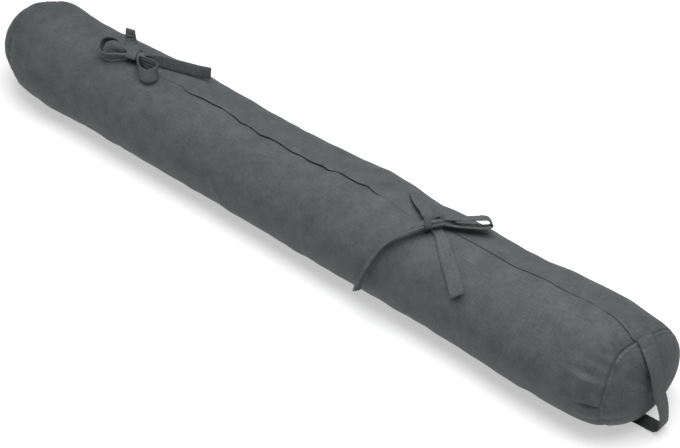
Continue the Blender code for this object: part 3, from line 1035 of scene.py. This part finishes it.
def woven_material(name, dark, light):
    """Plain-woven canvas: thick and thin yarn both ways, its threads crossing as bump."""
    material = bpy.data.materials.new(name)
    material.use_nodes = True
    tree = material.node_tree
    shader = tree.nodes["Principled BSDF"]
    shader.inputs["Roughness"].default_value = CANVAS_ROUGHNESS
    shader.inputs["Specular IOR Level"].default_value = CANVAS_SPECULAR
    weave = tree.nodes.new("ShaderNodeUVMap")
    weave.uv_map = WEAVE_MAP
    split = tree.nodes.new("ShaderNodeSeparateXYZ")
    tree.links.new(weave.outputs["UV"], split.inputs["Vector"])
    turns = 2 * np.pi / THREAD_PITCH
    warp = join_math(tree, "SINE", join_math(tree, "MULTIPLY", split.outputs["X"], turns))
    weft = join_math(tree, "SINE", join_math(tree, "MULTIPLY", split.outputs["Y"], turns))
    crossing = join_math(tree, "MULTIPLY", warp, weft)
    warp_slubs = streaks(tree, weave.outputs["UV"], SLUB_LENGTH, SLUB_WIDTH)
    weft_slubs = streaks(tree, weave.outputs["UV"], SLUB_WIDTH, SLUB_LENGTH)
    mottle = streaks(tree, weave.outputs["UV"], MOTTLE_SIZE, MOTTLE_SIZE)
    slubs = join_math(tree, "ADD", warp_slubs, weft_slubs)
    tone = join_math(tree, "ADD", slubs, join_math(tree, "MULTIPLY", mottle, MOTTLE_SHARE))
    ramp = tree.nodes.new("ShaderNodeValToRGB")
    for element, place, colour in zip(ramp.color_ramp.elements, TONE_RANGE, (dark, light)):
        element.position = place
        element.color = colour
    tree.links.new(join_math(tree, "DIVIDE", tone, 2 + MOTTLE_SHARE), ramp.inputs["Fac"])
    tree.links.new(ramp.outputs["Color"], shader.inputs["Base Color"])
    bump = tree.nodes.new("ShaderNodeBump")
    bump.inputs["Strength"].default_value = WEAVE_RELIEF_STRENGTH
    bump.inputs["Distance"].default_value = WEAVE_RELIEF
    height = join_math(tree, "ADD", join_math(tree, "MULTIPLY", crossing, THREAD_RELIEF), slubs)
    tree.links.new(height, bump.inputs["Height"])
    tree.links.new(bump.outputs["Normal"], shader.inputs["Normal"])
    return material


def glowing_material(name, colour, glow):
    """A matt surface lit from below, like a light table."""
    material = bpy.data.materials.new(name)
    material.use_nodes = True
    shader = material.node_tree.nodes["Principled BSDF"]
    shader.inputs["Base Color"].default_value = colour
    shader.inputs["Roughness"].default_value = FLOOR_ROUGHNESS
    shader.inputs["Specular IOR Level"].default_value = 0.0
    shader.inputs["Emission Color"].default_value = WHITE
    shader.inputs["Emission Strength"].default_value = glow
    return material


# The photograph's view, floor and light


def add_camera():
    azimuth = np.radians(CAMERA_AZIMUTH)
    elevation = np.radians(CAMERA_ELEVATION)
    level = Vector((np.sin(azimuth), -np.cos(azimuth), 0.0))
    back = level * np.cos(elevation) + Vector((0.0, 0.0, np.sin(elevation)))
    right = Vector((np.cos(azimuth), np.sin(azimuth), 0.0))
    up = back.cross(right)
    data = bpy.data.cameras.new("camera")
    data.sensor_width = SENSOR
    data.lens = FOCAL_PIXELS / IMAGE_WIDTH * SENSOR
    camera = bpy.data.objects.new("camera", data)
    turned = Matrix((right, up, back)).transposed().to_4x4()
    camera.matrix_world = Matrix.Translation(Vector(CAMERA_TARGET) + back * CAMERA_DISTANCE) @ turned
    bpy.context.scene.collection.objects.link(camera)
    bpy.context.scene.camera = camera


def add_floor():
    bpy.ops.mesh.primitive_plane_add(size=FLOOR_SIZE, location=(0.0, 0.0, 0.0))
    floor = bpy.context.object
    floor.name = "floor"
    floor.data.materials.append(glowing_material("floor", FLOOR, FLOOR_GLOW))


def add_light():
    world = bpy.data.worlds.new("studio")
    world.use_nodes = True
    sky = world.node_tree.nodes["Background"]
    sky.inputs["Color"].default_value = WHITE
    sky.inputs["Strength"].default_value = SKY_STRENGTH
    bpy.context.scene.world = world
    bpy.context.scene.view_settings.view_transform = "Standard"
    for name, place, size, power in SOFT_BOXES:
        data = bpy.data.lights.new(name, "AREA")
        data.energy = power
        data.size = size
        box = bpy.data.objects.new(name, data)
        box.location = place
        box.rotation_euler = Vector(place).to_track_quat("Z", "Y").to_euler()
        bpy.context.scene.collection.objects.link(box)


# Pieces


def place_piece(piece, slot, *nodes):
    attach(piece, BODY)
    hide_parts(*nodes)


def add_cover(canvas):
    cover = bolster_cover(canvas)
    place_piece(cover, "canvas", "bolster_body")


def add_panels(canvas):
    for name, seam, crown, turn, node in (
        ("canvas_panel_near", NEAR_SEAM, NEAR_CROWN, NEAR_TURN, "end_panel_near"),
        ("canvas_panel_far", FAR_SEAM, FAR_CROWN, FAR_TURN, "end_panel_far"),
    ):
        panel = end_panel_cover(name, seam, crown, turn, canvas)
        place_piece(panel, "canvas", node)


def add_strap(name, node, parts, material):
    strap = new_mesh_object(name, parts, material)
    place_piece(strap, "strap_canvas", node)


def add_carry_loop(material):
    middle = along_rows(CARRY_LOOP, steps=CARRY_LOOP_STEPS) * MM
    turns = np.array(CARRY_LOOP_ACROSS)
    across = smooth(turns[:, 0], turns[:, 1:], middle[:, 2])
    path = (middle, across, np.ones(len(middle)))
    parts = strap_parts(*path, width=CARRY_LOOP_WIDTH)
    add_strap(
        "strap_carry_loop", "carry_loop", parts, material,
    )


def add_near_ties(material):
    rear = laid_path(NEAR_ROOT_AND_TAIL)
    parts = strap_parts(*rear, free_end=True, sewn_start=True)
    add_strap(
        "strap_near_rear", "near_tie_rear", parts, material,
    )
    loop = free_path(NEAR_LOOP, NEAR_LOOP_ACROSS)
    tail = laid_path(NEAR_EDGE_TAIL)
    arch = free_path(NEAR_ARCH, NEAR_ARCH_ACROSS)
    wrap = wrap_path(*NEAR_WRAP)
    parts = strap_parts(*loop) + strap_parts(*tail, free_end=True) + strap_parts(*arch) + strap_parts(*wrap)
    parts.append(gathered_core(NEAR_KNOT, NEAR_KNOT_PLEATS, NEAR_KNOT_TWIST))
    add_strap(
        "strap_near_front", "near_tie_front", parts, material,
    )


def add_far_ties(material):
    tail = free_path(FAR_UPRIGHT_TAIL, FAR_UPRIGHT_ACROSS)
    droop = free_path(DROOPING_LOOP, DROOPING_LOOP_ACROSS)
    parts = strap_parts(*tail, free_end=True) + strap_parts(*droop)
    add_strap(
        "strap_far_rear", "far_tie_rear", parts, material,
    )
    loop = free_path(FAR_LOOP, FAR_LOOP_ACROSS)
    long_tail = free_path(FAR_LONG_TAIL, FAR_LONG_ACROSS)
    wrap = wrap_path(*FAR_WRAP)
    parts = strap_parts(*loop) + strap_parts(*long_tail, free_end=True) + strap_parts(*wrap)
    parts.append(gathered_core(FAR_KNOT, FAR_KNOT_PLEATS, FAR_KNOT_TWIST))
    add_strap(
        "strap_far_front", "far_tie_front", parts, material,
    )


def main():
    add_camera()
    add_floor()
    add_light()
    canvas = woven_material("canvas", CANVAS_DARK, CANVAS_LIGHT)
    strap = woven_material("strap_canvas", STRAP_DARK, STRAP_LIGHT)
    add_cover(canvas)
    add_panels(canvas)
    add_carry_loop(strap)
    add_near_ties(strap)
    add_far_ties(strap)


main()
